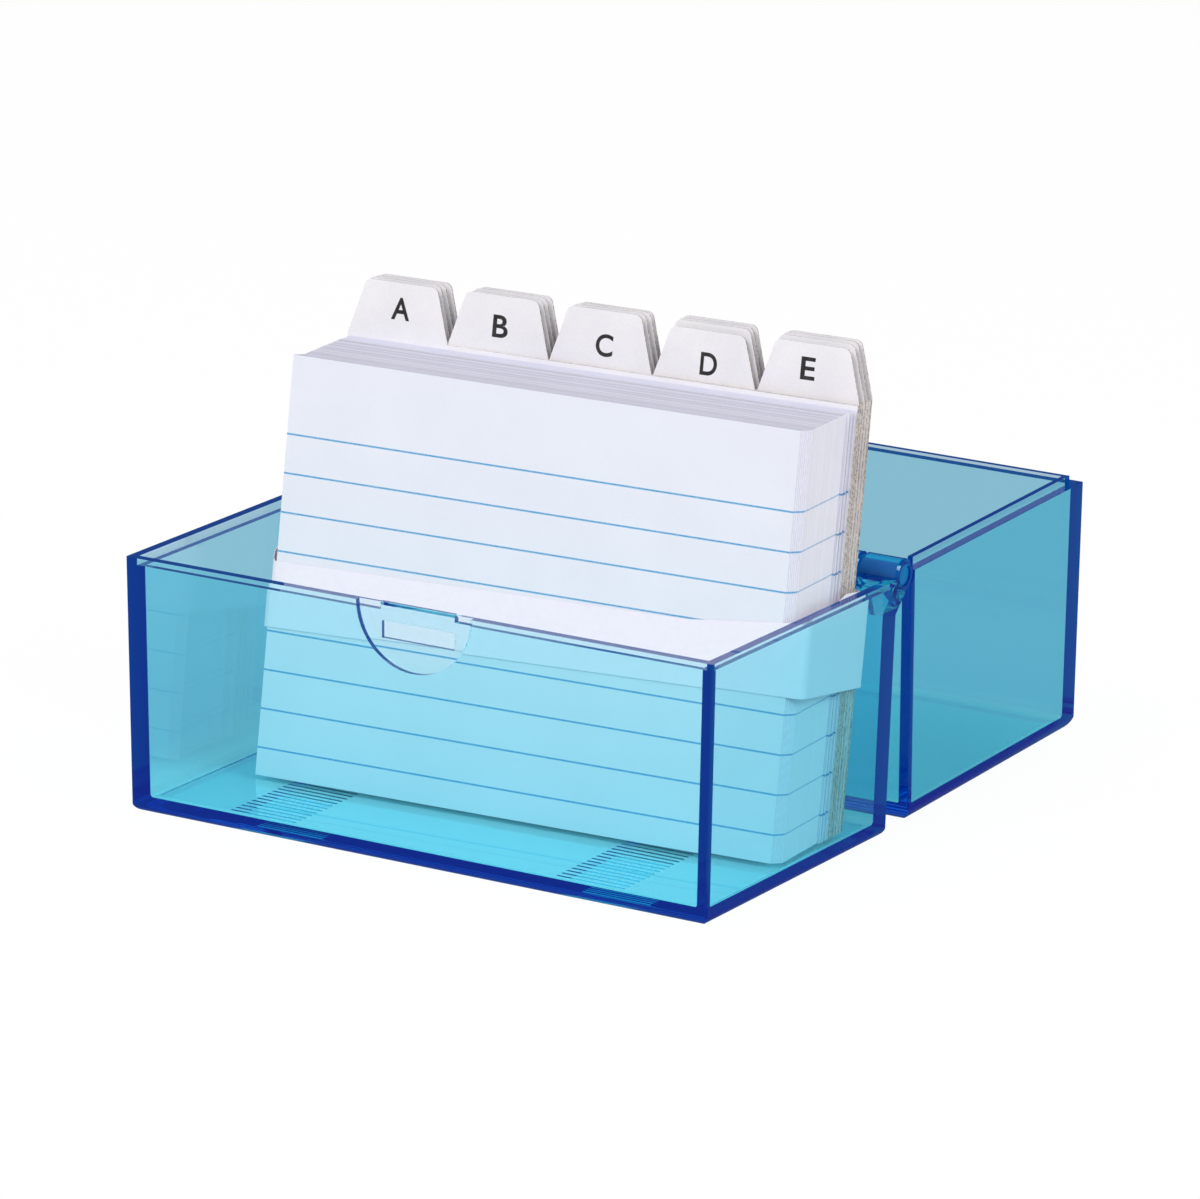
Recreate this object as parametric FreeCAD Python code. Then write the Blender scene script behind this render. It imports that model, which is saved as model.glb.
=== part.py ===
import FreeCAD, Part
import math
import os

from FreeCAD import Placement, Rotation, Vector

# Hinged index card box, open, with its lid laid back on the table.
# All lengths are in millimetres. X runs across the box, Y from front to back, Z up.
# The origin lies on the table below the middle of the hinge line.

# Cards and dividers
card_width = 100.45
card_height = 75.0
card_thickness = 0.204
divider_width = 101.6
divider_body_height = 75.8
tab_height = 10.1
tab_slope_run = 3.0
tab_corner_radius = 1.3
divider_thickness = 0.28
sheet_gap = 0.01
divider_shift = 1.6

# Stack
fan_card_count = 6
fan_shift = 1.5
pack_count = 5
cards_per_pack = 12
wide_card_count = 13
wide_card_shift = 2.0
divider_sets = 4
tab_names = ("a", "b", "c", "d", "e")
stack_shift = 2.5
stack_turn_deg = 2.865
stack_lean_deg = 8.713
stack_wall_gap = 1.2
seat_gap = 0.02

# Loose paper band round the stack
band_thickness = 0.15
band_front_gap = 0.12
band_rear_gap = 0.75
band_left_gap = 1.2
band_right_gap = 1.3
band_corner_radius = 1.6
band_low_edge = 27.9
band_high_edge = 39.1
band_low_edge_slope_share = -0.17
band_high_edge_slope_share = 0.18

# Box halves
wall_thickness = 2.95
floor_thickness = 2.5
lid_top_thickness = 2.9
side_room = 5.75
band_side_room = 0.37
headroom = 2.05
box_depth = 63.2
draft_inset = 0.75
rim_lip_thickness = 1.75
rebate_depth = 1.5
tray_edge_radius = 2.0
lid_edge_radius = 3.5
corner_radius = 0.4
cavity_radius = 0.8

# Raised lip of the lid
lip_clearance = 0.15
lip_start_gap = 0.6

# Grip ribs moulded on the tray floor
rib_height = 0.36
rib_pitch = 1.64
rib_width = 0.6
rib_patch_width = 13.8
rib_patch_offset = 33.5
rib_front_room = 0.6

# Thumb recess and snap latch
recess_radius = 11.6
recess_depth = 1.1
catch_width = 15.0
catch_chamfer = 0.9
pocket_width = 14.8
pocket_height = 3.1
pocket_drop = 3.5
pocket_depth = 0.7
tongue_width = 14.0
tongue_thickness = 1.2
tongue_gap = 0.45
tongue_root = 4.0
barb_reach = 0.85
barb_play = 0.25

# Hinge
hinge_setback = 2.53
rim_gap = 0.05
lid_rim_rise = 0.10
lid_rest_tilt_deg = 1.81
table_gap = 0.02
barrel_radius = 3.0
barrel_relief = 0.3
barrel_chamfer = 0.4
outer_knuckle_length = 7.9
inner_knuckle_length = 8.6
knuckle_gap = 0.4
pin_radius = 1.9
pin_clearance = 0.05
pin_seat_gap = 0.01
pin_inset = 0.3
pin_chamfer = 0.25

overrun = 5.0

# Sizes worked out from the ones above
divider_height = divider_body_height + tab_height
card_pitch = card_thickness + sheet_gap
divider_pitch = divider_thickness + sheet_gap
band_right_end = card_width / 2 + wide_card_shift + band_right_gap + band_thickness

# The cavity takes the dividers or the banded stack, whichever needs more room.
cavity_half_width = max(
    divider_width / 2 + side_room,
    band_right_end + stack_shift + band_side_room,
)
half_width = cavity_half_width + wall_thickness
box_width = 2 * half_width
tilt = math.radians(lid_rest_tilt_deg)
hinge_rise = lid_rim_rise + rim_gap
closed_height = floor_thickness + rib_height + divider_height + headroom + lid_top_thickness

# The lid's rounded near edge rests on the table, which ties its height to the hinge's.
edge_centre_y = hinge_setback + draft_inset + lid_edge_radius
lid_height_offset = lid_rim_rise + lid_edge_radius + (
    hinge_rise - table_gap + edge_centre_y * math.sin(tilt) - lid_edge_radius
) / math.cos(tilt)
tray_height = (closed_height - rim_gap - lid_height_offset) / (1 + 1 / math.cos(tilt))
lid_height = lid_height_offset + tray_height / math.cos(tilt)
hinge_height = tray_height + hinge_rise

lean = math.radians(stack_lean_deg)
turn = math.radians(stack_turn_deg)
fan_depth = fan_card_count * card_pitch
pack_depth = cards_per_pack * card_pitch
wide_depth = wide_card_count * card_pitch
divider_start = fan_depth + pack_count * pack_depth + wide_depth
divider_count = divider_sets * len(tab_names)
stack_depth = divider_start + divider_count * divider_pitch
tab_pitch = divider_width / len(tab_names)
seat_height = floor_thickness + rib_height + seat_gap


def extruded_profile(points, x_start, length):
    """A prism along X with the given (y, z) outline."""
    corners = [Vector(x_start, y, z) for y, z in points]
    wire = Part.makePolygon(corners + corners[:1])
    return Part.Face(wire).extrude(Vector(length, 0, 0))


def block(x_range, y_range, z_range):
    """A box between two limits on each axis."""
    x0, x1 = x_range
    y0, y1 = y_range
    z0, z1 = z_range
    return Part.makeBox(x1 - x0, y1 - y0, z1 - z0, Vector(x0, y0, z0))


def rod(radius, x_start, length, y=0, z=0):
    """A round bar along X."""
    return Part.makeCylinder(radius, length, Vector(x_start, y, z), Vector(1, 0, 0))


def rectangle(inset, z):
    """The corners of the cup's outer rectangle, drawn in by inset, at a height."""
    x = half_width - inset
    y0 = hinge_setback + inset
    y1 = hinge_setback + box_depth - inset
    return [Vector(-x, y0, z), Vector(x, y0, z), Vector(x, y1, z), Vector(-x, y1, z)]


def drafted_block(top_inset, bottom_inset, top_z, bottom_z):
    """A block whose four flat walls lean in towards the bottom."""
    low = rectangle(bottom_inset, bottom_z)
    high = rectangle(top_inset, top_z)
    outlines = [low[::-1], high]
    for index in range(len(low)):
        outlines.append([low[index - 1], low[index], high[index], high[index - 1]])
    faces = [Part.Face(Part.makePolygon(outline + outline[:1])) for outline in outlines]
    return Part.makeSolid(Part.makeShell(faces))


def edge_heights(edge):
    """The heights of an edge's ends."""
    return [vertex.Z for vertex in edge.Vertexes]


def lowest_edges(shape):
    """The edges whose ends both lie in the shape's lower half."""
    middle = shape.BoundBox.Center.z
    return [edge for edge in shape.Edges if max(edge_heights(edge)) < middle]


def upright_edges(shape):
    """The edges that climb from the shape's lower half to its upper half."""
    middle = shape.BoundBox.Center.z
    return [edge for edge in shape.Edges if min(edge_heights(edge)) < middle < max(edge_heights(edge))]


def end_edges(bar):
    """The two round edges of a bar along X."""
    return [edge for edge in bar.Edges if len(edge.Vertexes) == 1]


def cup(height, rim_z, floor, edge_radius):
    """One half of the box as an open cup behind the hinge line, rim up."""
    bottom_z = rim_z - height
    sharp = drafted_block(0, draft_inset, rim_z, bottom_z)
    round_cornered = sharp.makeFillet(corner_radius, upright_edges(sharp))
    round_bottomed = sharp.makeFillet(edge_radius, lowest_edges(sharp))
    outer = round_cornered.common(round_bottomed)

    floor_z = bottom_z + floor
    lower_inset = wall_thickness + draft_inset * (rim_z - floor_z) / height
    cavity = drafted_block(wall_thickness, lower_inset, rim_z, floor_z)
    return outer.cut(cavity.makeFillet(cavity_radius, lowest_edges(cavity)))


def knuckle(x_start, length, bore_radius):
    """A hinge knuckle with its web down the wall, bored for the pin, for a cup behind the axis."""
    barrel = rod(barrel_radius, x_start, length)
    barrel = barrel.makeChamfer(barrel_chamfer, end_edges(barrel))
    tangent = barrel_radius * math.sqrt(0.5)
    seat_y = hinge_setback + draft_inset
    drop = seat_y + 2 * tangent
    web = [(-tangent, -tangent), (seat_y, -drop), (seat_y, -tangent), (0, 0)]
    web_start = x_start + barrel_chamfer
    body = barrel.fuse(extruded_profile(web, web_start, length - 2 * barrel_chamfer))
    return body.cut(rod(bore_radius, x_start - overrun, length + 2 * overrun))


def mirrored_pair(shape):
    """The shape with its twin on the other side of the middle."""
    return [shape, shape.mirror(Vector(0, 0, 0), Vector(1, 0, 0))]


def knuckle_places():
    """The inner and outer knuckle ranges along X on the right."""
    outer = half_width - outer_knuckle_length
    inner = outer - knuckle_gap - inner_knuckle_length
    return (inner, inner_knuckle_length), (outer, outer_knuckle_length)


def with_hinge(shell, own, own_bore, other):
    """Add a cup's own knuckles and clear its wall round the other half's."""
    x_other, length_other = other
    relief = rod(barrel_radius + barrel_relief, x_other - knuckle_gap, length_other + 2 * knuckle_gap)
    for cut in mirrored_pair(relief):
        shell = shell.cut(cut)
    x_own, length_own = own
    for piece in mirrored_pair(knuckle(x_own, length_own, own_bore)):
        shell = shell.fuse(piece)
    for cut in mirrored_pair(rod(own_bore, x_own, length_own)):
        shell = shell.cut(cut)
    return shell.removeSplitter()


def recess_cut(rim_z, front_y):
    """The half-moon thumb recess in the face opposite the hinge."""
    centre = Vector(0, front_y - recess_depth, rim_z)
    return Part.makeCylinder(recess_radius, recess_depth + overrun, centre, Vector(0, 1, 0))


def rib_patch(x_centre, y_start, y_end, floor_z):
    """Pointed grip ribs across the floor, one profile drawn out along X."""
    count = int((y_end - y_start) / rib_pitch)
    points = [(y_start, floor_z - rib_height)]
    for index in range(count):
        y = y_start + index * rib_pitch
        points.append((y, floor_z))
        points.append((y + rib_width / 2, floor_z + rib_height))
        points.append((y + rib_width, floor_z))
    points.append((y_start + count * rib_pitch, floor_z))
    points.append((y_start + count * rib_pitch, floor_z - rib_height))
    return extruded_profile(points, x_centre - rib_patch_width / 2, rib_patch_width)


def tray():
    """The lower half, turned to stand in front of the hinge."""
    rim_z = -hinge_rise
    shell = cup(tray_height, rim_z, floor_thickness, tray_edge_radius)
    front_y = hinge_setback + box_depth
    inner_front = front_y - wall_thickness

    # Rebate round the inside of the rim, left standing at the catch
    step = half_width - rim_lip_thickness
    rebate = block(
        (-step, step),
        (hinge_setback + rim_lip_thickness, front_y - rim_lip_thickness),
        (rim_z - rebate_depth, rim_z + overrun),
    )
    catch = block(
        (-catch_width / 2, catch_width / 2),
        (inner_front, front_y),
        (rim_z - rebate_depth, rim_z + overrun),
    )
    shell = shell.cut(rebate.cut(catch))

    # Lead-in slope on the catch and the pocket that the barb drops into
    slope = [
        (inner_front, rim_z - catch_chamfer),
        (inner_front + catch_chamfer, rim_z),
        (inner_front, rim_z),
    ]
    shell = shell.cut(extruded_profile(slope, -catch_width / 2, catch_width))
    pocket_top = rim_z - pocket_drop
    shell = shell.cut(block(
        (-pocket_width / 2, pocket_width / 2),
        (inner_front - overrun, inner_front + pocket_depth),
        (pocket_top - pocket_height, pocket_top),
    ))
    shell = shell.cut(recess_cut(rim_z, front_y))

    inner, outer = knuckle_places()
    shell = with_hinge(shell, outer, pin_radius + pin_clearance, inner)

    # Ribs run over the floor from the hinge wall to just short of the front
    floor_z = rim_z - tray_height + floor_thickness
    rib_start = hinge_setback + wall_thickness + draft_inset + cavity_radius
    rib_end = inner_front - draft_inset - rib_front_room
    for patch in mirrored_pair(rib_patch(rib_patch_offset, rib_start, rib_end, floor_z)):
        shell = shell.fuse(patch)
    shell = shell.mirror(Vector(0, 0, 0), Vector(0, 1, 0))
    shell.translate(Vector(0, 0, hinge_height))
    return shell


def latch_tongue(rim_z, inner_front):
    """The lid's snap tongue: a root on the wall, a strip past the rim and an outward barb."""
    face = inner_front - tongue_gap
    back = face - tongue_thickness
    hook = rim_z + pocket_drop + rim_gap + barb_play
    tip = rim_z + pocket_drop + rim_gap + pocket_height - barb_play
    points = [
        (inner_front, rim_z - tongue_root),
        (inner_front, rim_z),
        (face, rim_z + tongue_gap),
        (face, hook),
        (face + barb_reach, hook),
        (face + barb_reach, hook + barb_reach),
        (face, tip),
        (back, tip),
        (back, rim_z - tongue_root + tongue_gap + tongue_thickness),
    ]
    return extruded_profile(points, -tongue_width / 2, tongue_width)


def lid():
    """The upper half, laid back behind the hinge."""
    rim_z = lid_rim_rise
    shell = cup(lid_height, rim_z, lid_top_thickness, lid_edge_radius)
    far_y = hinge_setback + box_depth
    inner_far = far_y - wall_thickness

    # Raised lip on the two sides and the far edge, broken at the latch
    lip_height = rebate_depth - lip_clearance
    lip_inset = rim_lip_thickness + lip_clearance
    lip_start = hinge_setback + wall_thickness + lip_start_gap
    lip = block(
        (lip_inset - half_width, half_width - lip_inset),
        (lip_start, far_y - lip_inset),
        (rim_z - lip_height, rim_z + lip_height),
    )
    opening = block(
        (-cavity_half_width, cavity_half_width),
        (lip_start - overrun, inner_far),
        (rim_z - overrun, rim_z + overrun),
    )
    latch_gap = block(
        (-catch_width / 2 - lip_clearance, catch_width / 2 + lip_clearance),
        (inner_far - overrun, far_y),
        (rim_z, rim_z + overrun),
    )
    shell = shell.fuse(lip.cut(opening).cut(latch_gap))
    shell = shell.fuse(latch_tongue(rim_z, inner_far))
    shell = shell.cut(recess_cut(rim_z, far_y))

    inner, outer = knuckle_places()
    shell = with_hinge(shell, inner, pin_radius + pin_seat_gap, outer)
    shell.rotate(Vector(0, 0, 0), Vector(1, 0, 0), lid_rest_tilt_deg)
    shell.translate(Vector(0, 0, hinge_height))
    return shell


def hinge_pin():
    """The right hinge pin, fixed in the lid's knuckle and turning in the tray's."""
    (inner, _), (outer, length) = knuckle_places()
    start = inner + pin_inset
    pin = rod(pin_radius, start, outer + length - pin_inset - start, 0, hinge_height)
    return pin.makeChamfer(pin_chamfer, end_edges(pin))


def stack_place():
    """Where the front foot of the leaning stack stands on the ribs."""
    wall_y = -hinge_setback - wall_thickness
    ledge_z = tray_height - rebate_depth
    rise = ledge_z - seat_height
    along = (rise + stack_depth * math.sin(lean)) / math.cos(lean)
    reach = stack_depth * math.cos(lean) + along * math.sin(lean)
    right_end = card_width / 2 + wide_card_shift
    y = wall_y - stack_wall_gap - right_end * math.sin(turn) - reach * math.cos(turn)
    return Vector(stack_shift, y, seat_height)


def in_stack(shape):
    """Turn a shape from the stack's own frame, card faces square to Y, into the box."""
    turned = Rotation(Vector(0, 0, 1), stack_turn_deg)
    leaned = Rotation(Vector(1, 0, 0), -stack_lean_deg)
    placed = shape.copy()
    placed.Placement = Placement(stack_place(), turned.multiply(leaned)).multiply(shape.Placement)
    return placed


def foot_height(depth, thickness):
    """How far up its own plane a sheet starts, so that its back edge stands on the ribs."""
    return (depth + thickness) * math.tan(lean)


def ruled_card(depth, shift):
    """One card of the stack, at a depth behind the first and a sideways shift."""
    foot = foot_height(depth, card_thickness)
    left = shift - card_width / 2
    return Part.makeBox(card_width, card_thickness, card_height, Vector(left, depth, foot))


def card_group(start, count, shift):
    """A run of cards as separate sheets."""
    sheets = [in_stack(ruled_card(start + index * card_pitch, shift)) for index in range(count)]
    return Part.Compound(sheets)


def divider(position, depth):
    """A card divider with its tab at one of five places."""
    foot = foot_height(depth, divider_thickness)
    left = divider_shift - divider_width / 2
    right = left + divider_width
    shoulder = foot + divider_body_height
    top = shoulder + tab_height
    tab_left = left + position * tab_pitch
    tab_right = tab_left + tab_pitch
    outline = [(left, foot), (right, foot), (right, shoulder)]
    if position < len(tab_names) - 1:
        outline.append((tab_right, shoulder))
    outline.append((tab_right - tab_slope_run, top))
    outline.append((tab_left + tab_slope_run, top))
    if position > 0:
        outline.append((tab_left, shoulder))
    outline.append((left, shoulder))
    corners = [Vector(x, depth, z) for x, z in outline]
    plate = Part.Face(Part.makePolygon(corners + corners[:1])).extrude(Vector(0, divider_thickness, 0))
    tops = [
        edge for edge in plate.Edges
        if min(edge_heights(edge)) > shoulder and edge.Length < tab_corner_radius
    ]
    return in_stack(plate.makeFillet(tab_corner_radius, tops))


def band_loop(growth, low, high):
    """A rounded prism round the stack, grown outwards from the band's inner face."""
    left = -card_width / 2 - band_left_gap - growth
    right = card_width / 2 + wide_card_shift + band_right_gap + growth
    front = -band_front_gap - growth
    rear = stack_depth + band_rear_gap + growth
    prism = block((left, right), (front, rear), (low, high))
    return prism.makeFillet(band_corner_radius + growth, upright_edges(prism))


def beyond_edge(height, slope_share, far_z):
    """The space past one slanting edge of the band."""
    front = -overrun
    rear = stack_depth + overrun
    points = [
        (front, height + slope_share * front),
        (rear, height + slope_share * rear),
        (rear, far_z),
        (front, far_z),
    ]
    return extruded_profile(points, -card_width, 2 * card_width)


def paper_band():
    """The loose band: a thin ring cut off slantwise at both edges."""
    low = band_low_edge - stack_depth
    high = band_high_edge + stack_depth
    outer = band_loop(band_thickness, low, high)
    ring = outer.cut(band_loop(0, low - overrun, high + overrun))
    below = beyond_edge(band_low_edge, band_low_edge_slope_share, low - overrun)
    above = beyond_edge(band_high_edge, band_high_edge_slope_share, high + overrun)
    return in_stack(ring.cut(below).cut(above))


def all_parts():
    """Every named piece of the box with its shape."""
    right_pin = hinge_pin()
    parts = {
        "tray": tray(),
        "lid": lid(),
        "hinge_pin_right": right_pin,
        "hinge_pin_left": right_pin.mirror(Vector(0, 0, 0), Vector(1, 0, 0)),
        "paper_band": paper_band(),
    }
    for index in range(fan_card_count):
        shift = fan_shift * index / fan_card_count
        parts[f"ruled_card_{index + 1}"] = card_group(index * card_pitch, 1, shift)
    for index in range(pack_count):
        start = fan_depth + index * pack_depth
        parts[f"ruled_card_pack_{index + 1}"] = card_group(start, cards_per_pack, fan_shift)
    start = fan_depth + pack_count * pack_depth
    parts["wide_card_pack"] = card_group(start, wide_card_count, wide_card_shift)
    for index in range(divider_count):
        position = index % len(tab_names)
        name = f"divider_{tab_names[position]}{index // len(tab_names) + 1}"
        parts[name] = divider(position, divider_start + index * divider_pitch)
    return parts


os.makedirs("parts", exist_ok=True)
for name, shape in all_parts().items():
    shape.exportStep(f"parts/{name}.step")
    print(f"{name:18s} {len(shape.Solids):2d} solids, valid {shape.isValid()}, {shape.Volume:.1f} mm3")
place = stack_place()
print(f"tray height {tray_height:.3f}, lid height {lid_height:.3f}, hinge height {hinge_height:.3f}")
print(f"box width {box_width:.2f}, stack depth {stack_depth:.2f}")
print(f"stack foot {place.x:.2f}, {place.y:.2f}, {place.z:.2f}")
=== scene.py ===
# %% [markdown]
# # A see-through index card box
# The real object is a hinged box of clear blue plastic, opened, with a leaning stack of ruled
# cards and lettered dividers in its tray. The CAD frame already holds every part at its right
# place and size, so this script only dresses it: it gives each part the surface, the small
# irregularities and the finish that the CAD leaves out. Everything is in metres.

# %% Load the frame
import math
import random

import bmesh
import bpy
from mathutils import Matrix, Vector


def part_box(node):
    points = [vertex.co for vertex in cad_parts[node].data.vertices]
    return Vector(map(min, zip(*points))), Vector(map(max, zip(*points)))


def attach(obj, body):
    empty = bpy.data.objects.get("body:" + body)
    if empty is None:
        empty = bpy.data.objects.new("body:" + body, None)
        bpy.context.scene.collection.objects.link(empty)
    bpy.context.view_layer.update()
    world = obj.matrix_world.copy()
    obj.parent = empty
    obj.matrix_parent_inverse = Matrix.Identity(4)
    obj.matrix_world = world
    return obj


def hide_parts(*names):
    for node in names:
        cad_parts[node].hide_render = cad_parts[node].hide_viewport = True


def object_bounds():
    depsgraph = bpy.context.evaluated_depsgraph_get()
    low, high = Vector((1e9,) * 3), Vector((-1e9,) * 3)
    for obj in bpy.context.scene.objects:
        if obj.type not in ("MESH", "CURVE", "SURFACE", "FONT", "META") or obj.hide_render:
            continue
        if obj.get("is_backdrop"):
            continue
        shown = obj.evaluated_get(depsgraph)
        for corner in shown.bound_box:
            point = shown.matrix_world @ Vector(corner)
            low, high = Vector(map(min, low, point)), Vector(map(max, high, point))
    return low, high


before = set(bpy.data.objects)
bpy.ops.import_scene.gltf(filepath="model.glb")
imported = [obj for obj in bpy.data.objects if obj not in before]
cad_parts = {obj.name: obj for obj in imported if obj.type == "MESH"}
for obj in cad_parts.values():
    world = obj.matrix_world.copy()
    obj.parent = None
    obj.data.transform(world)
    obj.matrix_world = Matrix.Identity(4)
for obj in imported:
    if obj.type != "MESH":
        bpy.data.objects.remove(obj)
cad_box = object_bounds()
scene = bpy.context.scene
MM = 0.001

# %% [markdown]
# ## The camera
# The photograph was taken with a long lens from the right, a little above the box. The place
# and the focal length were worked out from the box's straight edges. A camera looks along its
# own -Z, so its matrix is built from three axes: right, up and back.

# %% Camera
camera_place = Vector((716.02, -1191.46, 430.82)) * MM
camera_aim = Vector((8.559, -18.13, 38.478)) * MM
camera_roll = math.radians(0.877)

camera_data = bpy.data.cameras.new("camera")
camera_data.lens = 243.815
camera_data.sensor_width = 36.0
camera_data.clip_start = 0.05
camera_data.clip_end = 50.0
camera = bpy.data.objects.new("camera", camera_data)
scene.collection.objects.link(camera)
back = (camera_place - camera_aim).normalized()
level = Vector((0, 0, 1)).cross(back).normalized()
upward = back.cross(level)
right = level * math.cos(camera_roll) + upward * math.sin(camera_roll)
up = upward * math.cos(camera_roll) - level * math.sin(camera_roll)
camera.matrix_world = Matrix((right, up, back)).transposed().to_4x4()
camera.location = camera_place
scene.camera = camera
scene.view_settings.view_transform = "Standard"
print("camera distance", round((camera_place - camera_aim).length, 3))

# %% [markdown]
# ## Helpers for node materials
# A procedural material is a small graph. These helpers add a node, set its inputs and link
# sockets, so that each finish below reads as one short recipe.

# %% Node helpers


def new_material(name):
    """A material with only its output node, and its node tree."""
    material = bpy.data.materials.new(name)
    material.use_nodes = True
    material.node_tree.nodes.clear()
    return material, material.node_tree


def add(tree, kind, links=(), **values):
    """A node with its properties set and its inputs filled from numbers, colours or sockets."""
    node = tree.nodes.new(kind)
    for name, value in values.items():
        setattr(node, name, value)
    for key, value in dict(links).items():
        if isinstance(value, bpy.types.NodeSocket):
            tree.links.new(value, node.inputs[key])
        else:
            node.inputs[key].default_value = value
    return node


def maths(tree, operation, first, second=0.0):
    """The result socket of one sum on two numbers or sockets."""
    return add(tree, "ShaderNodeMath", {0: first, 1: second}, operation=operation).outputs[0]


def noise(tree, vector, scale, detail=2.0, roughness=0.5):
    """A noise value between 0 and 1 at so many cells a metre."""
    links = {"Vector": vector, "Scale": scale, "Detail": detail, "Roughness": roughness}
    return add(tree, "ShaderNodeTexNoise", links).outputs["Fac"]


def spread(tree, value, low, high, start=0.0, end=1.0):
    """A value stretched from one range to another and held at its ends."""
    links = {"Value": value, "From Min": low, "From Max": high, "To Min": start, "To Max": end}
    return add(tree, "ShaderNodeMapRange", links).outputs["Result"]


def blend_colour(tree, factor, first, second, mode="MIX"):
    """Two colours mixed by a factor."""
    node = add(tree, "ShaderNodeMix", data_type="RGBA", blend_type=mode)
    for index, value in ((0, factor), (6, first), (7, second)):
        if isinstance(value, bpy.types.NodeSocket):
            tree.links.new(value, node.inputs[index])
        else:
            node.inputs[index].default_value = value
    return node.outputs[2]


def colour(red, green, blue):
    """A linear colour from the 0 to 255 numbers that a picture shows."""
    def linear(step):
        share = step / 255
        return share / 12.92 if share <= 0.04045 else ((share + 0.055) / 1.055) ** 2.4
    return (linear(red), linear(green), linear(blue), 1.0)


def bump(tree, height, strength, distance):
    """A normal that follows a height."""
    links = {"Height": height, "Strength": strength, "Distance": distance}
    return add(tree, "ShaderNodeBump", links).outputs["Normal"]


def finish_with(tree, surface, volume=None):
    """Link the shader to the output."""
    output = add(tree, "ShaderNodeOutputMaterial", {"Surface": surface})
    if volume is not None:
        tree.links.new(volume, output.inputs["Volume"])


# %% [markdown]
# ## The studio
# The box stands on a plain pale floor in a white room. Two large soft boxes light the cards from high
# in front and from the right. Floor and room show as white only to the camera. Reflections and rays
# that come through the plastic meet a darker, bluer room, as clear plastic in a real studio does. Away
# from the box, the floor seen through the plastic glows in that darker blue as a painted shadow of the
# box, tinted by its plastic. These colours follow the kind of ray and the place on the floor, never
# where the camera stands.

# %% Room and floor
ROOM_LIGHT = (0.46, 0.46, 0.46, 1)
THROUGH_PLASTIC = (0.44, 0.50, 0.62, 1)
IN_REFLECTIONS = (0.06, 0.10, 0.18, 1)
WHITE = (1, 1, 1, 1)
FLOOR_Z = -0.2 * MM
FLOOR_GLOW = 1.012  # brings the floor to white in the picture
CAMERA_SHARE = 0.94  # how much of the floor glows to the camera: the rest is lit, for the shadow
MIRRORED_SHARE = 0.9
PASSED_SHADOW_SHARE = 0.7  # through plastic, and only away from the box
HALF_WIDTH, HALF_DEPTH = 59.5 * MM, 66.0 * MM
FADE = 20.0 * MM

world = bpy.data.worlds.new("white_room")
scene.world = world
world.use_nodes = True
tree = world.node_tree
tree.nodes.clear()
path = add(tree, "ShaderNodeLightPath")
shown = blend_colour(tree, path.outputs["Is Diffuse Ray"], (0, 0, 0, 1), ROOM_LIGHT)
shown = blend_colour(tree, path.outputs["Is Glossy Ray"], shown, IN_REFLECTIONS)
shown = blend_colour(tree, path.outputs["Is Transmission Ray"], shown, THROUGH_PLASTIC)
shown = blend_colour(tree, path.outputs["Is Camera Ray"], shown, WHITE)
room = add(tree, "ShaderNodeBackground", {"Color": shown})
add(tree, "ShaderNodeOutputWorld", {"Surface": room.outputs[0]})

floor_paper, tree = new_material("floor_paper")
place = add(tree, "ShaderNodeTexCoord").outputs["Object"]
pale = blend_colour(tree, noise(tree, place, 3.0), (0.80, 0.80, 0.80, 1), (0.84, 0.84, 0.84, 1))
matt = add(tree, "ShaderNodeBsdfDiffuse", {"Color": pale}).outputs[0]
path = add(tree, "ShaderNodeLightPath")
passed = path.outputs["Is Transmission Ray"]
not_passed = maths(tree, "SUBTRACT", 1.0, passed)
mirrored = maths(tree, "MULTIPLY", path.outputs["Is Glossy Ray"], not_passed)
sides = add(tree, "ShaderNodeSeparateXYZ", {0: place}).outputs
beside = maths(tree, "SUBTRACT", maths(tree, "ABSOLUTE", sides[0]), HALF_WIDTH)
behind = maths(tree, "SUBTRACT", maths(tree, "ABSOLUTE", sides[1]), HALF_DEPTH)
away = spread(tree, maths(tree, "MAXIMUM", beside, behind), 0.0, FADE)
glow = blend_colour(tree, mirrored, THROUGH_PLASTIC, IN_REFLECTIONS)
glow = blend_colour(tree, path.outputs["Is Camera Ray"], glow, WHITE)
# Through the plastic, the floor away from the box glows darker and bluer. This is a painted shadow of
# the box, tinted by its plastic. Near and under the box the floor keeps its lamp-lit shading.
share = maths(tree, "MULTIPLY", maths(tree, "MULTIPLY", passed, away), PASSED_SHADOW_SHARE)
share = maths(tree, "MAXIMUM", share, maths(tree, "MULTIPLY", mirrored, MIRRORED_SHARE))
to_camera = maths(tree, "MULTIPLY", path.outputs["Is Camera Ray"], CAMERA_SHARE)
share = maths(tree, "MAXIMUM", share, to_camera)
white = add(tree, "ShaderNodeEmission", {"Color": glow, "Strength": FLOOR_GLOW}).outputs[0]
finish_with(tree, add(tree, "ShaderNodeMixShader", {0: share, 1: matt, 2: white}).outputs[0])

shape = bmesh.new()
bmesh.ops.create_grid(shape, x_segments=1, y_segments=1, size=4.0)
bmesh.ops.translate(shape, verts=shape.verts, vec=(0, 0, FLOOR_Z))
floor_mesh = bpy.data.meshes.new("floor")
shape.to_mesh(floor_mesh)
shape.free()
floor = bpy.data.objects.new("floor", floor_mesh)
floor_mesh.materials.append(floor_paper)
scene.collection.objects.link(floor)
floor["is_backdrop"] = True
print("floor", floor.name, "world", world.name)

# %% Soft boxes


def soft_box(name, place, size, power):
    """A square lamp that faces the middle of the box."""
    data = bpy.data.lights.new(name, "AREA")
    data.shape = "SQUARE"
    data.size = size
    data.energy = power
    lamp = bpy.data.objects.new(name, data)
    scene.collection.objects.link(lamp)
    away = Vector(place) - Vector((0, 0, 0.04))
    lamp.matrix_world = Matrix.Translation(place) @ away.to_track_quat("Z", "Y").to_matrix().to_4x4()


soft_box("soft_box_front", (-0.35, -1.25, 1.35), 1.0, 15.5)
soft_box("soft_box_right", (1.4, -0.4, 1.2), 0.9, 14.0)
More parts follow.
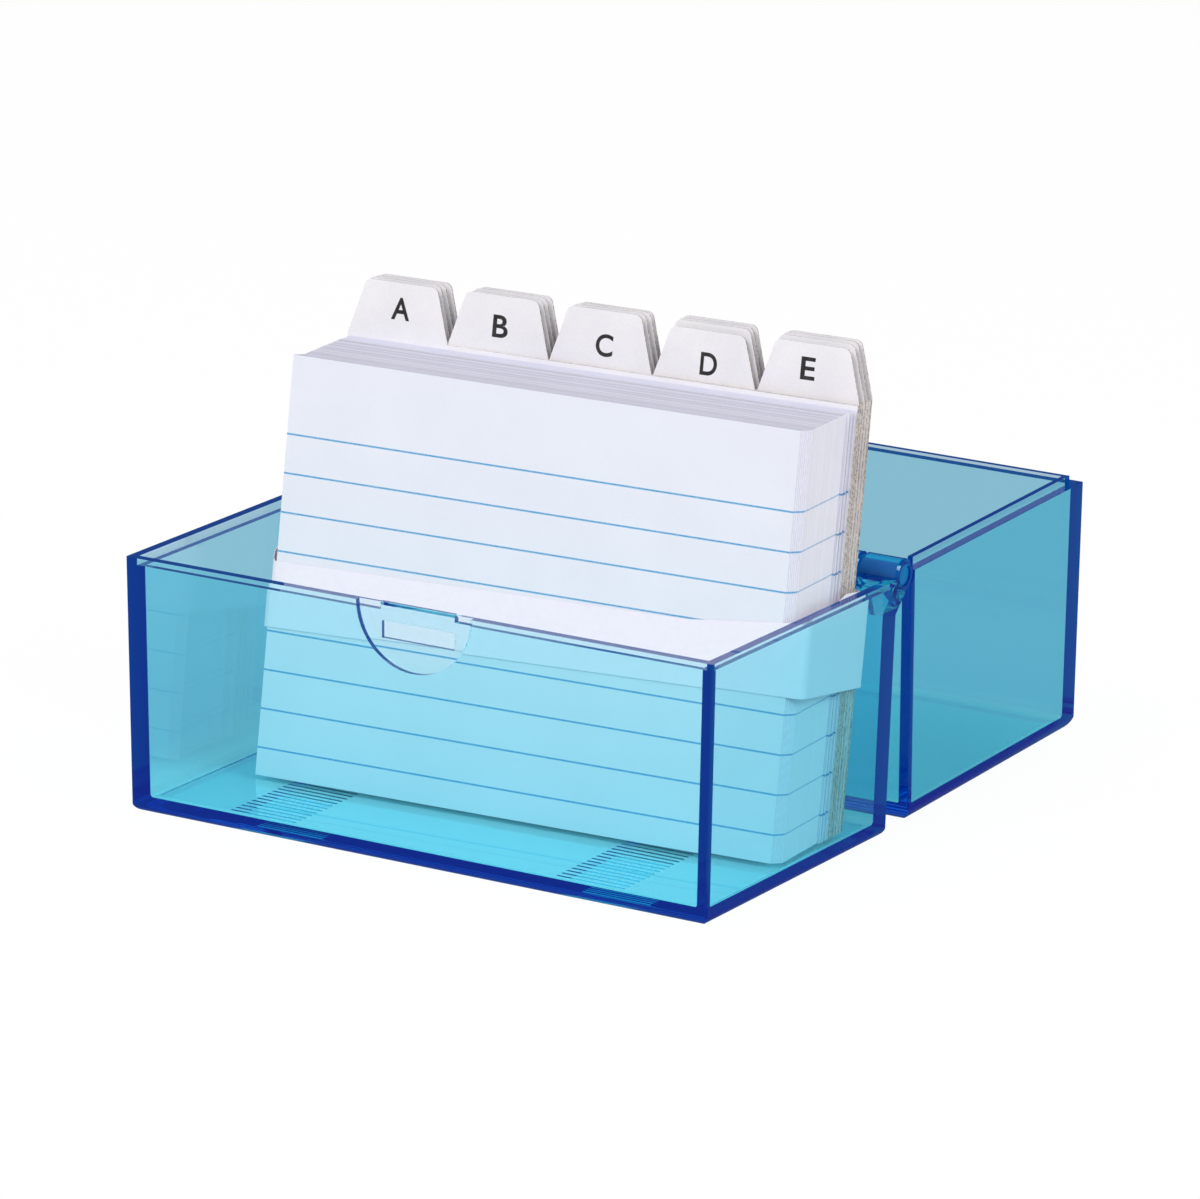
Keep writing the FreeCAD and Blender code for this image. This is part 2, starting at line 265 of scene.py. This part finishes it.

# %% [markdown]
# ## Clear blue plastic
# The box is moulded from clear tinted plastic. Its colour comes from depth: a thin wall looks pale
# blue and a rim, where the eye looks along the wall, looks navy. So the surface itself is clear, and
# the tint is set as absorption inside the volume, strong for red, weak for green and almost nothing
# for blue. Lamps pass straight through to the cards and are lightly tinted. A ray that stays trapped
# past a few reflections or passages glows navy instead. This is a painted glow in place of the light
# that more bounces would bring. The hinge knuckles use the same recipe with a deeper blue, because so
# much plastic is packed round the pin there.

# %% Plastic
PLASTIC_IOR = 1.53
TINT, TINT_DENSITY = (0.0, 0.875, 0.987, 1), 225.0
# The navy that a trapped ray shows is a painted glow, in place of the light that more bounces would
# bring.
TRAPPED_GLOW = (0.005, 0.10, 0.30, 1)
UNTINTED_LIGHT = 0.64  # the share of lamp light that passes without taking on the tint
MIRRORINGS, PASSAGES = 3, 10  # past these a ray is taken as trapped, and shows deep blue


def plastic(name, base, gloss):
    """Clear blue plastic with a base colour for the surface and a share of the usual gloss."""
    material, tree = new_material(name)
    place = add(tree, "ShaderNodeTexCoord").outputs["Object"]
    polish = spread(tree, noise(tree, place, 60.0), 0.3, 0.7, 0.004, 0.02)
    ripple = bump(tree, noise(tree, place, 35.0, 1.0), 0.04, 0.0004)
    glassy = add(tree, "ShaderNodeBsdfPrincipled", {
        "Base Color": base,
        "Roughness": polish,
        "IOR": PLASTIC_IOR,
        "Specular IOR Level": gloss,
        "Transmission Weight": 1.0,
        "Normal": ripple,
    }).outputs[0]
    open_way = add(tree, "ShaderNodeBsdfTransparent", {"Color": WHITE}).outputs[0]
    path = add(tree, "ShaderNodeLightPath")
    passing = maths(tree, "MAXIMUM", path.outputs["Is Shadow Ray"], path.outputs["Is Diffuse Ray"])
    trapped = maths(
        tree, "MAXIMUM",
        maths(tree, "GREATER_THAN", path.outputs["Glossy Depth"], MIRRORINGS + 0.5),
        maths(tree, "GREATER_THAN", path.outputs["Ray Depth"], PASSAGES + 0.5),
    )
    # Painted glow: a trapped ray shows navy light instead of what more bounces would bring.
    deep = add(tree, "ShaderNodeEmission", {"Color": TRAPPED_GLOW, "Strength": 1.0}).outputs[0]
    lit = add(tree, "ShaderNodeMixShader", {0: trapped, 1: glassy, 2: deep}).outputs[0]
    clear = add(tree, "ShaderNodeMixShader", {0: passing, 1: lit, 2: open_way}).outputs[0]
    absorption = {"Color": TINT, "Density": TINT_DENSITY}
    tint = add(tree, "ShaderNodeVolumeAbsorption", absorption).outputs[0]
    untinted = maths(tree, "MULTIPLY", passing, UNTINTED_LIGHT)
    light_tint = add(tree, "ShaderNodeMixShader", {0: untinted, 1: tint}).outputs[0]
    finish_with(tree, clear, light_tint)
    return material


clear_plastic = plastic("clear_blue_plastic", WHITE, 0.5)
knuckle_plastic = plastic("knuckle_plastic", (0.08, 0.62, 0.9, 1), 0.12)
print("plastics", clear_plastic.name, knuckle_plastic.name)

# %% Pin plastic
pin_plastic, tree = new_material("pin_plastic")
place = add(tree, "ShaderNodeTexCoord").outputs["Object"]
drift = noise(tree, place, 400.0, 2.0)
surface = add(tree, "ShaderNodeBsdfPrincipled", {
    "Base Color": blend_colour(tree, drift, colour(0, 96, 170), colour(0, 130, 190)),
    "Roughness": spread(tree, drift, 0.3, 0.7, 0.08, 0.2),
    "IOR": PLASTIC_IOR,
}).outputs[0]
finish_with(tree, surface)
print("pins", pin_plastic.name)

# %% [markdown]
# ## Paper and board
# Every card carries nine printed lines. The pattern reads the sheet's own UV map, where the height is
# the card's height, so the lines stay on the card when it slides or leans. Ink runs out to the cut
# edge, where most of it shows paler. Each sheet's lightness is kept as an attribute. On the cut sides
# it varies a little at random. On the top edges it varies widely and leans dark, partly the cut
# paper's own grey and partly painted shade in the gaps between the sheets. On the fronts of the sheets
# behind the first card it is low, as painted shade.

# %% Ruled card
CARD_HEIGHT = 75.0
FIRST_LINE = 5.0
LINE_PITCH = 6.9875
LAST_LINE = 8


def printed_lines(tree, width, density):
    """A mask of the printed lines, from the height on the card."""
    uv = add(tree, "ShaderNodeUVMap", uv_map="sheet")
    height = add(tree, "ShaderNodeSeparateXYZ", {0: uv.outputs[0]}).outputs[1]
    above_first = maths(tree, "SUBTRACT", maths(tree, "MULTIPLY", height, CARD_HEIGHT), FIRST_LINE)
    count = maths(tree, "DIVIDE", above_first, LINE_PITCH)
    nearest = maths(tree, "ROUND", count)
    off_line = maths(tree, "ABSOLUTE", maths(tree, "SUBTRACT", count, nearest))
    distance = maths(tree, "MULTIPLY", off_line, LINE_PITCH)
    line = spread(tree, distance, width * 0.65, width * 1.25, 1.0, 0.0)
    past_first = maths(tree, "GREATER_THAN", nearest, -0.5)
    inside = maths(tree, "MULTIPLY", past_first, maths(tree, "LESS_THAN", nearest, LAST_LINE + 0.5))
    return maths(tree, "MULTIPLY", maths(tree, "MULTIPLY", line, inside), density)


def sheet_tone_and_shade(tree):
    """The lightness of one sheet, between 0 and 1: partly its own, partly painted shade."""
    return add(tree, "ShaderNodeAttribute", attribute_name="sheet_tone_and_shade").outputs["Fac"]


def card_finish(name, light, dark, ink, width, density):
    """Smooth white card with printed lines."""
    material, tree = new_material(name)
    place = add(tree, "ShaderNodeTexCoord").outputs["Object"]
    base = blend_colour(tree, sheet_tone_and_shade(tree), dark, light)
    cloudy = spread(tree, noise(tree, place, 90.0, 4.0), 0.3, 0.7, 0.97, 1.0)
    fibres = spread(tree, noise(tree, place, 2400.0, 3.0), 0.25, 0.75, 0.975, 1.0)
    shade = maths(tree, "MULTIPLY", cloudy, fibres)
    grey = add(tree, "ShaderNodeCombineColor", {0: shade, 1: shade, 2: shade}).outputs[0]
    paper = blend_colour(tree, 1.0, base, grey, "MULTIPLY")
    speckle = spread(tree, noise(tree, place, 5000.0, 1.0), 0.3, 0.6, 0.7, 1.0)
    lines = printed_lines(tree, width, maths(tree, "MULTIPLY", speckle, density))
    printed = blend_colour(tree, lines, paper, ink)
    surface = add(tree, "ShaderNodeBsdfPrincipled", {
        "Base Color": printed,
        "Roughness": spread(tree, noise(tree, place, 900.0), 0.3, 0.7, 0.55, 0.7),
        "Specular IOR Level": 0.3,
        "Normal": bump(tree, noise(tree, place, 3500.0, 2.0), 0.15, 0.00002),
    }).outputs[0]
    finish_with(tree, surface)
    return material


ink_blue = colour(64, 156, 206)
# The dark end of the card face is painted shade on the fronts of the sheets behind the first card. The
# dark ends of both edge finishes are partly the cut paper's grey and partly painted shade on the top
# edges.
card_face = card_finish(
    "card_face", colour(232, 232, 242), colour(222, 221, 234), ink_blue, 0.17, 1.0)
card_edge = card_finish(
    "card_edge", colour(240, 240, 250), colour(162, 162, 178), colour(60, 145, 200), 0.14, 0.6)
wide_edge = card_finish(
    "wide_edge", colour(238, 238, 250), colour(196, 196, 224), colour(20, 110, 180), 0.22, 1.0)
print("cards", card_face.name, card_edge.name, wide_edge.name)

# %% Divider board


def board_finish(name, pale, fleck, amount):
    """Grey chipboard, seen on the cut edges, or its white face."""
    material, tree = new_material(name)
    place = add(tree, "ShaderNodeTexCoord").outputs["Object"]
    drawn = add(tree, "ShaderNodeMapping", {"Vector": place, "Scale": (1.0, 1.0, 0.6)}).outputs[0]
    grain = noise(tree, drawn, 3200.0, 4.0, 0.75)
    cloud = noise(tree, place, 120.0, 3.0)
    ground = blend_colour(tree, spread(tree, cloud, 0.3, 0.7), pale[0], pale[1])
    spots = spread(tree, grain, 0.43, 0.6, 0.0, amount)
    surface = add(tree, "ShaderNodeBsdfPrincipled", {
        "Base Color": blend_colour(tree, spots, ground, fleck),
        "Roughness": spread(tree, grain, 0.3, 0.7, 0.6, 0.85),
        "Specular IOR Level": 0.25,
        "Normal": bump(tree, grain, 0.25 * amount + 0.05, 0.00006),
    }).outputs[0]
    finish_with(tree, surface)
    return material


board_face = board_finish(
    "board_face", (colour(240, 238, 241), colour(234, 232, 236)), colour(205, 200, 198), 0.12)
board_edge = board_finish(
    "board_edge", (colour(226, 216, 208), colour(200, 188, 178)), colour(88, 72, 60), 0.9)
print("boards", board_face.name, board_edge.name)

# %% Band paper and print
band_paper, tree = new_material("band_paper")
place = add(tree, "ShaderNodeTexCoord").outputs["Object"]
fibres = noise(tree, place, 700.0, 5.0, 0.65)
cloudy = spread(tree, fibres, 0.3, 0.7)
white = blend_colour(tree, cloudy, colour(240, 231, 242), colour(244, 236, 246))
surface = add(tree, "ShaderNodeBsdfPrincipled", {
    "Base Color": white,
    "Roughness": spread(tree, fibres, 0.3, 0.7, 0.6, 0.75),
    "Specular IOR Level": 0.3,
    "Normal": bump(tree, fibres, 0.1, 0.00004),
}).outputs[0]
finish_with(tree, surface)

print_black, tree = new_material("print_black")
place = add(tree, "ShaderNodeTexCoord").outputs["Object"]
wear = noise(tree, place, 1800.0, 3.0)
ink = blend_colour(tree, spread(tree, wear, 0.4, 0.8), colour(34, 31, 29), colour(62, 58, 55))
surface = add(tree, "ShaderNodeBsdfPrincipled", {
    "Base Color": ink,
    "Roughness": spread(tree, wear, 0.3, 0.7, 0.5, 0.65),
}).outputs[0]
finish_with(tree, surface)
print("materials", len(bpy.data.materials))

# %% [markdown]
# ## Box halves
# Tray and lid are single mouldings with a rebated rim, a thumb recess, a latch and hinge
# knuckles. Their CAD shapes are right, but a CAD mesh is loose triangles, and clear plastic
# shows every flat facet. So each is copied, its points are merged, flat triangles are joined
# into whole faces, and each corner gets a normal of its own: a wall's corners keep the wall's
# normal, and only the rounded edges between walls are shaded smooth. Normals that are averaged
# over a corner lean on a large wall, and lines seen through it break into steps. The grip ribs on
# the tray's floor are drawn in to low ridges with sloping ends, because light that enters a steep
# rib is trapped.

# %% Tray and lid


def new_piece(shape, name, body, materials):
    """Turn a finished bmesh into an object that rides on a CAD body."""
    mesh = bpy.data.meshes.new(name)
    shape.to_mesh(mesh)
    shape.free()
    for material in materials:
        mesh.materials.append(material)
    piece = bpy.data.objects.new(name, mesh)
    scene.collection.objects.link(piece)
    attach(piece, body)
    return piece


def soften(piece, angle):
    """Shade smooth, except across edges sharper than the angle."""
    piece.data.shade_smooth()
    piece.data.set_sharp_from_angle(angle=math.radians(angle))


TRAY_FLOOR = 2.5
RIB_INNER, RIB_MIDDLE, RIB_OUTER = 26.5, 33.5, 40.5  # a patch of ribs, from its inner to outer end
RIB_TOP = 0.4  # just over the height of a rib in the CAD
RIB_START, RIB_PITCH, RIB_WIDTH = 7.03, 1.64, 0.6
RIB_RISE, RIB_TAPER, RIB_SQUEEZE = 0.13, 0.35, 0.08
CLOSE = 0.02


def lower_ribs(shape):
    """Draw the grip ribs in to low ridges with sloping ends."""
    for vert in shape.verts:
        x, y, z = vert.co / MM
        in_patch = RIB_INNER < abs(x) < RIB_OUTER
        if not (in_patch and TRAY_FLOOR - CLOSE / 2 < z < TRAY_FLOOR + RIB_TOP):
            continue
        phase = (-y - RIB_START + CLOSE) % RIB_PITCH - CLOSE
        if z > TRAY_FLOOR + RIB_TOP / 2:
            z = TRAY_FLOOR + RIB_RISE
            x += math.copysign(RIB_TAPER, RIB_MIDDLE - abs(x)) * math.copysign(1, x)
        elif abs(phase) < CLOSE:
            y -= RIB_SQUEEZE
        elif abs(phase - RIB_WIDTH) < CLOSE:
            y += RIB_SQUEEZE
        vert.co = Vector((x, y, z)) * MM


HINGE_HEIGHT = 46.747
KNUCKLE_REACH = 4.4
WALL_AREA = 25.0  # a wall is at least this large, in square millimetres
WALL_WIDTH = 0.9  # and on average this wide
ROUNDED_BELOW = math.radians(22)  # faces that meet at less than this are one rounded edge


def on_knuckle(face):
    """Whether every corner of a face lies near the hinge's axis."""
    reach = KNUCKLE_REACH * MM
    return all(math.hypot(v.co.y, v.co.z - HINGE_HEIGHT * MM) < reach for v in face.verts)


def is_wall(mesh, face):
    """Whether a face is a broad flat one, not a facet of a rounded edge."""
    perimeter = sum((mesh.vertices[a].co - mesh.vertices[b].co).length for a, b in face.edge_keys)
    return face.area > WALL_AREA * MM * MM and 2 * face.area / perimeter > WALL_WIDTH * MM


def true_normals(mesh, angle):
    """Smooth the rounded edges, and keep every wall exactly flat."""
    mesh.shade_smooth()
    touching = {}
    for face in mesh.polygons:
        for vert in face.vertices:
            touching.setdefault(vert, []).append(face)
    walls = {face.index for face in mesh.polygons if is_wall(mesh, face)}
    normals = []
    for face in mesh.polygons:
        for vert in face.vertices:
            near = [other for other in touching[vert] if other.normal.angle(face.normal) < angle]
            flat = [other for other in near if other.index in walls]
            if face.index in walls:
                normals.append(face.normal.copy())
            elif flat:
                normals.append(max(flat, key=lambda other: other.area).normal.copy())
            else:
                total = sum((other.normal * other.area for other in near), Vector())
                normals.append(total.normalized())
    mesh.normals_split_custom_set(normals)


def moulding(node, name, body):
    """A clean copy of a CAD moulding."""
    shape = bmesh.new()
    shape.from_mesh(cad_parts[node].data)
    bmesh.ops.remove_doubles(shape, verts=shape.verts, dist=0.001 * MM)
    lower_ribs(shape)
    bmesh.ops.dissolve_limit(
        shape, angle_limit=math.radians(0.2), verts=shape.verts, edges=shape.edges)
    for face in shape.faces:
        face.material_index = 1 if on_knuckle(face) else 0
    piece = new_piece(shape, name, body, [clear_plastic, knuckle_plastic])
    true_normals(piece.data, ROUNDED_BELOW)
    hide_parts(node)
    print(name, "faces", len(piece.data.polygons))


moulding("tray", "tray_shell", "tray")
moulding("lid", "lid_shell", "lid")

# %% [markdown]
# ## Hinge pins
# Each hinge turns on a short plastic pin whose end shows as a disc in the outer knuckle. A
# cylinder with both end edges bevelled is all it needs.

# %% Pins
PIN_ROUND = 0.25 * MM


def pin(node, name):
    """A round pin along X that fills its CAD node's box."""
    low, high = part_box(node)
    length = high.x - low.x
    radius = (high.z - low.z) / 2
    shape = bmesh.new()
    bmesh.ops.create_cone(
        shape, cap_ends=True, segments=64, radius1=radius, radius2=radius, depth=length,
        matrix=Matrix.Translation((low + high) / 2) @ Matrix.Rotation(math.radians(90), 4, "Y"),
    )
    ends = [edge for edge in shape.edges if any(len(face.verts) > 4 for face in edge.link_faces)]
    bmesh.ops.bevel(
        shape, geom=ends, offset=PIN_ROUND, segments=3, profile=0.5, affect="EDGES", material=-1)
    piece = new_piece(shape, name, "lid", [pin_plastic])
    soften(piece, 40)
    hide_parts(node)
    return piece


pins = [pin("hinge_pin_right", "right_pin"), pin("hinge_pin_left", "left_pin")]
print("pins", [p.name for p in pins])

# %% [markdown]
# ## The stack's own frame
# The cards lean back and stand a little askew in the tray. It is easiest to build every sheet
# upright at the origin, where X is its width, Y its depth in the stack and Z its height, and to
# turn the finished mesh into place with one matrix.

# %% Stack frame
STACK_FOOT = Vector((2.5, -38.69, 2.88)) * MM
STACK_TURN = math.radians(2.865)
STACK_LEAN = math.radians(8.713)
in_stack = (
    Matrix.Translation(STACK_FOOT)
    @ Matrix.Rotation(STACK_TURN, 4, "Z")
    @ Matrix.Rotation(-STACK_LEAN, 4, "X")
)
chance = random.Random(7)


def foot_of(depth, thickness):
    """How far up its own plane a sheet starts, so that its back edge stands on the ribs."""
    return (depth + thickness) * math.tan(STACK_LEAN)


# %% [markdown]
# ## Ruled cards
# A card is a thin plate. One helper adds a plate to a bmesh from the cube operator and writes the
# sheet's UV map and its lightness, with the painted shade described above. The six that fan out at the
# front are a piece each, and the rest are made pack by pack. In a pack each card is a few hundredths
# of a millimetre out of line, as real cards are, and in the last pack up to about half a millimetre.

# %% Cards
CARD = (100.45, 0.204, 75.0)
PITCH = 0.214


def add_card(shape, uv, tone_and_shade, depth, shift, lift, front_painted_light):
    """One card in the stack's frame, in millimetres."""
    foot = foot_of(depth, CARD[1]) + lift
    made = bmesh.ops.create_cube(shape, size=1.0)["verts"]
    bmesh.ops.scale(shape, verts=made, vec=CARD)
    bmesh.ops.translate(shape, verts=made, vec=(shift, depth + CARD[1] / 2, foot + CARD[2] / 2))
    value = chance.random()
    for face in {face for vert in made for face in vert.link_faces}:
        face.material_index = 0 if abs(face.normal.y) > 0.5 else 1
        # Top edges get a random lightness that leans dark, partly the cut paper's grey and partly
        # painted shade between the sheets. Fronts and backs get the given lightness: full for the
        # first card, and lower as painted shade for the cards behind it. The cut sides stay nearly
        # white.
        if abs(face.normal.z) > 0.5:
            face[tone_and_shade] = value ** 1.5
        elif abs(face.normal.y) > 0.5:
            face[tone_and_shade] = front_painted_light
        else:
            face[tone_and_shade] = 0.95 + 0.05 * value
        for loop in face.loops:
            across = (loop.vert.co.x - shift) / CARD[0] + 0.5
            loop[uv].uv = (across, (loop.vert.co.z - foot) / CARD[2])


def cards(name, body, nodes, places, edge=card_edge, front_painted_light=0.2):
    """A piece made of the cards at the given depths, shifts and lifts."""
    shape = bmesh.new()
    uv = shape.loops.layers.uv.new("sheet")
    tone_and_shade = shape.faces.layers.float.new("sheet_tone_and_shade")
    for depth, shift, lift in places:
        add_card(shape, uv, tone_and_shade, depth, shift, lift, front_painted_light)
    bmesh.ops.scale(shape, verts=shape.verts, vec=(MM, MM, MM))
    bmesh.ops.transform(shape, verts=shape.verts, matrix=in_stack)
    piece = new_piece(shape, name, body, [card_face, edge])
    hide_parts(*nodes)


FAN = 6
PACKS, PACK_SIZE = 5, 12
PACK_SHIFT = 1.5
SHIFT_PLAY, LIFT_PLAY = 0.015, 0.08
for index in range(FAN):
    node = f"ruled_card_{index + 1}"
    # The first card's front is fully lit. The cards fanned out behind it get painted shade on their
    # fronts.
    front_painted_light = 1.0 if index == 0 else 0.35
    place = (index * PITCH, PACK_SHIFT * index / FAN, 0.0)
    cards(f"fanned_card_{index + 1}", node, [node], [place], front_painted_light=front_painted_light)

depth = FAN * PITCH
for pack in range(PACKS):
    places = []
    for index in range(PACK_SIZE):
        shift = PACK_SHIFT + chance.uniform(-SHIFT_PLAY, SHIFT_PLAY)
        places.append((depth, shift, chance.uniform(0.0, LIFT_PLAY)))
        depth += PITCH
    cards(f"card_pack_{pack + 1}", "card_stack", [f"ruled_card_pack_{pack + 1}"], places)

WIDE_SHIFTS = (2.05, 2.0, 1.65, 1.6, 2.05, 1.65, 2.0, 1.6, 1.55, 1.6, 2.1, 1.7, 1.7)
places = []
for shift in WIDE_SHIFTS:
    places.append((depth, shift, chance.uniform(0.0, LIFT_PLAY)))
    depth += PITCH
cards("wide_pack", "card_stack", ["wide_card_pack"], places, edge=wide_edge)
print("dividers start at", round(depth, 3))

# %% [markdown]
# ## Dividers
# A divider is a sheet of white-faced grey board with a tab in one of five places. Its outline
# needs only a few points. The face is extruded to its thickness, and the tab's top corners are
# bevelled round. The cut edges get the grey board as a second material.

# %% Dividers
BOARD_WIDTH = 101.6
BOARD_THICKNESS = 0.28
BOARD_PITCH = 0.29
BOARD_SHIFT = 1.6
TAB_SLOPE = 3.0
TAB_ROUND = 1.0
SHOULDER, TAB_TOP = 75.8, 85.9
LETTERS = "ABCDE"
BOARDS = 20
BOARD_PLAY = {0: 0.1, 3: 0.15, 8: 0.3, 9: 0.1, 12: 0.25, 15: 0.3, 16: 0.2}
SHOULDERS = {3: 75.3, 4: 74.9}
TOPS = {3: 84.8, 4: 85.1, 18: 85.8}


def divider(index, depth):
    """One divider, with its tab at its letter's place."""
    position = index % len(LETTERS)
    foot = foot_of(depth, BOARD_THICKNESS)
    left = BOARD_SHIFT - BOARD_WIDTH / 2 + BOARD_PLAY.get(index, 0.0) - chance.uniform(0.0, 0.12)
    end = left + BOARD_WIDTH
    shoulder = foot + SHOULDERS.get(index, SHOULDER)
    top = foot + TOPS.get(index, TAB_TOP - chance.uniform(0.0, 0.3))
    tab = left + position * BOARD_WIDTH / len(LETTERS)
    tab_end = tab + BOARD_WIDTH / len(LETTERS)
    outline = [(left, foot), (end, foot), (end, shoulder)]
    if position < len(LETTERS) - 1:
        outline.append((tab_end, shoulder))
    outline += [(tab_end - TAB_SLOPE, top), (tab + TAB_SLOPE, top)]
    if position > 0:
        outline.append((tab, shoulder))
    outline.append((left, shoulder))

    shape = bmesh.new()
    front = shape.faces.new([shape.verts.new((x, depth, z)) for x, z in outline])
    moved = bmesh.ops.extrude_face_region(shape, geom=[front])["geom"]
    verts = [item for item in moved if isinstance(item, bmesh.types.BMVert)]
    bmesh.ops.translate(shape, verts=verts, vec=(0, BOARD_THICKNESS, 0))
    bmesh.ops.recalc_face_normals(shape, faces=shape.faces)
    corners = [
        edge for edge in shape.edges
        if all(vert.co.z > top - 0.01 for vert in edge.verts) and edge.calc_length() < 1.0
    ]
    bmesh.ops.bevel(
        shape, geom=corners, offset=TAB_ROUND, segments=8, profile=0.5, affect="EDGES", material=-1)
    for face in shape.faces:
        face.material_index = 0 if abs(face.normal.y) > 0.5 else 1
    bmesh.ops.scale(shape, verts=shape.verts, vec=(MM, MM, MM))
    bmesh.ops.transform(shape, verts=shape.verts, matrix=in_stack)
    letter = LETTERS[position].lower()
    node = f"divider_{letter}{index // len(LETTERS) + 1}"
    name = f"board_{letter}{index // len(LETTERS) + 1}"
    piece = new_piece(shape, name, node, [board_face, board_edge])
    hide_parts(node)
    return piece


divider_start = depth
boards = [divider(index, divider_start + index * BOARD_PITCH) for index in range(BOARDS)]
print("dividers", len(boards))

# %% [markdown]
# ## Printed letters
# The front tabs carry plain capitals. Text is the quickest way to a clean letter: it is typed,
# made a little bolder, turned into a mesh and laid on its tab as a film of print.

# %% Letters
LETTER_PLACES = {
    "A": (-38.8, 81.0), "B": (-18.7, 80.4), "C": (2.05, 79.7), "D": (22.6, 79.0), "E": (41.7, 80.7),
}
LETTER_STRETCH = {"A": 0.93, "B": 1.1, "C": 0.96, "D": 0.89, "E": 1.16}
CAP_HEIGHT = 4.0
BOLDER = 0.018
FILM = 0.002  # with its place, this keeps the print inside the gap of 0.01 between two boards
PRINT_DEPTH = 0.005


def letter_mesh(letter):
    """A bold capital centred on the origin in the XZ plane, in millimetres."""
    curve = bpy.data.curves.new(f"text_{letter}", "FONT")
    curve.body = letter
    curve.size = 1.0
    curve.offset = BOLDER
    curve.extrude = FILM
    text = bpy.data.objects.new(f"text_{letter}", curve)
    scene.collection.objects.link(text)
    bpy.context.view_layer.update()
    graph = bpy.context.evaluated_depsgraph_get()
    mesh = bpy.data.meshes.new_from_object(text.evaluated_get(graph))
    bpy.data.objects.remove(text)
    shape = bmesh.new()
    shape.from_mesh(mesh)
    bpy.data.meshes.remove(mesh)
    xs = [vert.co.x for vert in shape.verts]
    ys = [vert.co.y for vert in shape.verts]
    middle = Vector((min(xs) + max(xs), min(ys) + max(ys), 0)) / 2
    bmesh.ops.translate(shape, verts=shape.verts, vec=-middle)
    size = CAP_HEIGHT / (max(ys) - min(ys))
    bmesh.ops.scale(shape, verts=shape.verts, vec=(LETTER_STRETCH[letter] * size, size, 1.0))
    bmesh.ops.rotate(shape, verts=shape.verts, matrix=Matrix.Rotation(math.radians(90), 3, "X"))
    return shape


for index, letter in enumerate(LETTERS):
    x, height = LETTER_PLACES[letter]
    depth = divider_start + index * BOARD_PITCH
    shape = letter_mesh(letter)
    bmesh.ops.remove_doubles(shape, verts=shape.verts, dist=0.0001)
    place = (x, depth - PRINT_DEPTH, height + foot_of(depth, BOARD_THICKNESS))
    bmesh.ops.translate(shape, verts=shape.verts, vec=place)
    bmesh.ops.recalc_face_normals(shape, faces=shape.faces)
    bmesh.ops.scale(shape, verts=shape.verts, vec=(MM, MM, MM))
    bmesh.ops.transform(shape, verts=shape.verts, matrix=in_stack)
    small = letter.lower()
    new_piece(shape, f"letter_{small}", f"divider_{small}1", [print_black])
print("letters", LETTERS)

# %% [markdown]
# ## Paper band
# One strip of thin paper goes round the whole stack. It is loose, but here its sides run straight
# between its rounded corners. The loop starts as four points with rounded corners and grows upwards in
# steps. The solidify operator then gives the paper its thickness.

# %% Band
BAND_LEFT, BAND_RIGHT = -51.47, 53.57
BAND_FRONT, BAND_REAR = -0.17, 23.52
BAND_STEPS = 5
BAND_BOTTOM = 27.9
BOTTOM_SLOPE, TOP_SLOPE = 0.024, 0.02
CORNER_START, CORNER_TOP, CORNER_SLOPE = 35, 40.1, 0.11  # the rise towards the right front corner
BAND_ROUND = 1.6
BAND_THICKNESS = 0.1
BAND_TOP = ((-5, 39.1), (0, 39.1), (1.6, 41.2), (4, 42.4), (13, 43.2), (17, 44.7), (30, 44.7))


def band_top(depth):
    """The height of the band's upper edge, which climbs towards the back."""
    for (near, low), (far, high) in zip(BAND_TOP, BAND_TOP[1:]):
        if depth <= far:
            return low + (high - low) * (depth - near) / (far - near)
    return BAND_TOP[-1][1]


shape = bmesh.new()
ring = [shape.verts.new(point) for point in (
    (BAND_LEFT, BAND_FRONT, 0), (BAND_RIGHT, BAND_FRONT, 0),
    (BAND_RIGHT, BAND_REAR, 0), (BAND_LEFT, BAND_REAR, 0),
)]
for index in range(4):
    shape.edges.new((ring[index - 1], ring[index]))
bmesh.ops.bevel(
    shape, geom=ring, offset=BAND_ROUND, segments=6, profile=0.5, affect="VERTICES", material=-1)
long_edges = [edge for edge in shape.edges if edge.calc_length() > 10]
bmesh.ops.subdivide_edges(shape, edges=long_edges, cuts=40)
rows = [list(shape.verts)]
for step in range(BAND_STEPS):
    rim = [edge for edge in shape.edges if all(vert in rows[-1] for vert in edge.verts)]
    made = bmesh.ops.extrude_edge_only(shape, edges=rim)
    rows.append([item for item in made["geom"] if isinstance(item, bmesh.types.BMVert)])
for step, row in enumerate(rows):
    for vert in row:
        low = BAND_BOTTOM + BOTTOM_SLOPE * vert.co.x
        high = band_top(vert.co.y) + TOP_SLOPE * vert.co.x
        high = max(high, CORNER_TOP + CORNER_SLOPE * (vert.co.x - CORNER_START))
        vert.co.z = low + (high - low) * step / BAND_STEPS
bmesh.ops.recalc_face_normals(shape, faces=shape.faces)
bmesh.ops.solidify(shape, geom=shape.faces, thickness=BAND_THICKNESS)
bmesh.ops.recalc_face_normals(shape, faces=shape.faces)
bmesh.ops.scale(shape, verts=shape.verts, vec=(MM, MM, MM))
bmesh.ops.transform(shape, verts=shape.verts, matrix=in_stack)
band = new_piece(shape, "band", "card_stack", [band_paper])
soften(band, 40)
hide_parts("paper_band")
print("band faces", len(band.data.polygons))

# %% [markdown]
# ## Sizes
# The boxes of the CAD frame and of the dressed object are both printed. The dressed object
# must not be larger than its CAD frame.

# %% Sizes
shown_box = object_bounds()
sizes = {"cad": [list(corner) for corner in cad_box], "visual": [list(corner) for corner in shown_box]}
for name, corners in sizes.items():
    print(name, [[round(value * 1000, 2) for value in corner] for corner in corners])
